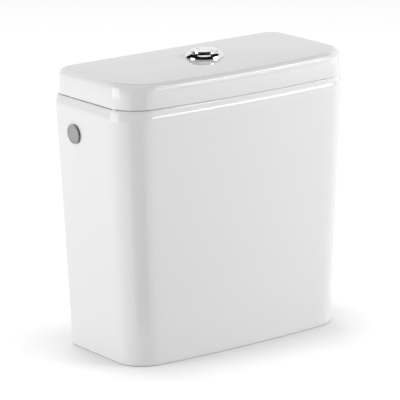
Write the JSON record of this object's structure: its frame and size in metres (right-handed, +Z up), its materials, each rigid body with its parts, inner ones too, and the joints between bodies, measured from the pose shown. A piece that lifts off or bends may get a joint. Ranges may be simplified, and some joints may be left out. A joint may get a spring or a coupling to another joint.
{
  "type": "toilet cistern",
  "caption": "Close-coupled ceramic toilet cistern with a lift-off lid, dual-flush push button, flush valve and side-inlet fill valve inside.",
  "frame": {"origin": "centre of the flush outlet's lower end, on the plane of the tank's foot rim", "axes": "+X to the right of someone facing the front, -Y out of the front, +Z up"},
  "size_m": [0.3965, 0.182, 0.3898],
  "materials": {
    "glaze": "glossy white glaze",
    "chrome": "bright chrome plating",
    "black_rubber": "matt black rubber",
    "white_rubber": "pale silicone rubber",
    "steel": "drawn stainless steel",
    "grey_plastic": "moulded grey plastic",
    "blue_plastic": "moulded blue plastic",
    "white_plastic": "moulded white plastic"
  },
  "bodies": {
    "tank": {"cistern_tank": "glaze", "lid_buffers": "white_rubber", "valve_base": "white_plastic", "base_gasket": "black_rubber", "back_nut": "grey_plastic", "coupling_gasket": "black_rubber", "valve_tower": "white_plastic", "rocker_bridge": "grey_plastic", "rocker_axles": "steel", "fill_valve_body": "white_plastic", "inlet_filter": "blue_plastic", "inlet_gasket": "black_rubber", "inlet_nut": "grey_plastic", "diaphragm": "black_rubber", "diaphragm_cap": "white_plastic", "lever_pin": "steel", "float_chamber": "white_plastic", "silencer_tube": "white_plastic", "side_plug": "grey_plastic", "side_plug_seal": "black_rubber", "side_plug_nut": "grey_plastic"},
    "lid": {"cistern_lid": "glaze", "button_bezel": "chrome", "button_gasket": "black_rubber", "button_housing": "white_plastic", "lid_clamp_nut": "grey_plastic"},
    "full_button": {"full_flush_button": "chrome", "full_push_rod": "white_plastic", "full_button_spring": "steel"},
    "half_button": {"half_flush_button": "chrome", "half_push_rod": "white_plastic", "half_button_spring": "steel"},
    "flush_valve": {"overflow_tube": "white_plastic", "flush_seal": "black_rubber", "seal_retainer": "blue_plastic", "lift_collar": "white_plastic", "main_float": "white_plastic"},
    "full_rocker": {"full_flush_rocker": "white_plastic"},
    "half_rocker": {"half_flush_rocker": "blue_plastic"},
    "half_float": {"half_float_rod": "white_plastic", "half_flush_float": "blue_plastic", "half_float_clips": "blue_plastic"},
    "fill_float": {"fill_float": "white_plastic", "float_link": "white_plastic", "level_clips": "blue_plastic"},
    "float_lever": {"float_lever": "blue_plastic"}
  },
  "joints": [
    {"name": "lid_lift", "type": "slide", "parent": "tank", "child": "lid", "axis": [0, 0, 1], "range_m": [0, 0.12]},
    {"name": "full_flush_press", "type": "slide", "parent": "lid", "child": "full_button", "axis": [0, 0, -1], "range_m": [0, 0.008], "stiffness_N_per_m": 300, "springref_m": -0.01, "deforming": ["full_button_spring"]},
    {"name": "half_flush_press", "type": "slide", "parent": "lid", "child": "half_button", "axis": [0, 0, -1], "range_m": [0, 0.008], "stiffness_N_per_m": 300, "springref_m": -0.01, "deforming": ["half_button_spring"]},
    {"name": "full_rocker_tilt", "type": "hinge", "parent": "tank", "child": "full_rocker", "pos_m": [0.012, -0.0055, 0.279], "axis": [0, -1, 0], "range_deg": [0, 24.64]},
    {"name": "half_rocker_tilt", "type": "hinge", "parent": "tank", "child": "half_rocker", "pos_m": [-0.012, 0.0055, 0.279], "axis": [0, 1, 0], "range_deg": [0, 24.64]},
    {"name": "valve_lift", "type": "slide", "parent": "tank", "child": "flush_valve", "axis": [0, 0, 1], "range_m": [0, 0.0084]},
    {"name": "half_float_lift", "type": "slide", "parent": "tank", "child": "half_float", "axis": [0, 0, 1], "range_m": [0, 0.0084]},
    {"name": "float_rise", "type": "slide", "parent": "tank", "child": "fill_float", "axis": [0, 0, 1], "range_m": [0, 0.01449]},
    {"name": "float_lever_tilt", "type": "hinge", "parent": "tank", "child": "float_lever", "pos_m": [0.10247, 0.0358, 0.2786], "axis": [0, 1, 0], "range_deg": [0, 30]}
  ],
  "couplings": [
    {"joint": "full_rocker_tilt", "follows": "full_flush_press", "rad_per_m": 53.75},
    {"joint": "valve_lift", "follows": "full_flush_press", "ratio": 1.05},
    {"joint": "half_rocker_tilt", "follows": "half_flush_press", "rad_per_m": 53.75},
    {"joint": "half_float_lift", "follows": "half_flush_press", "ratio": 1.05},
    {"joint": "float_lever_tilt", "follows": "float_rise", "rad_per_m": 36.13}
  ]
}
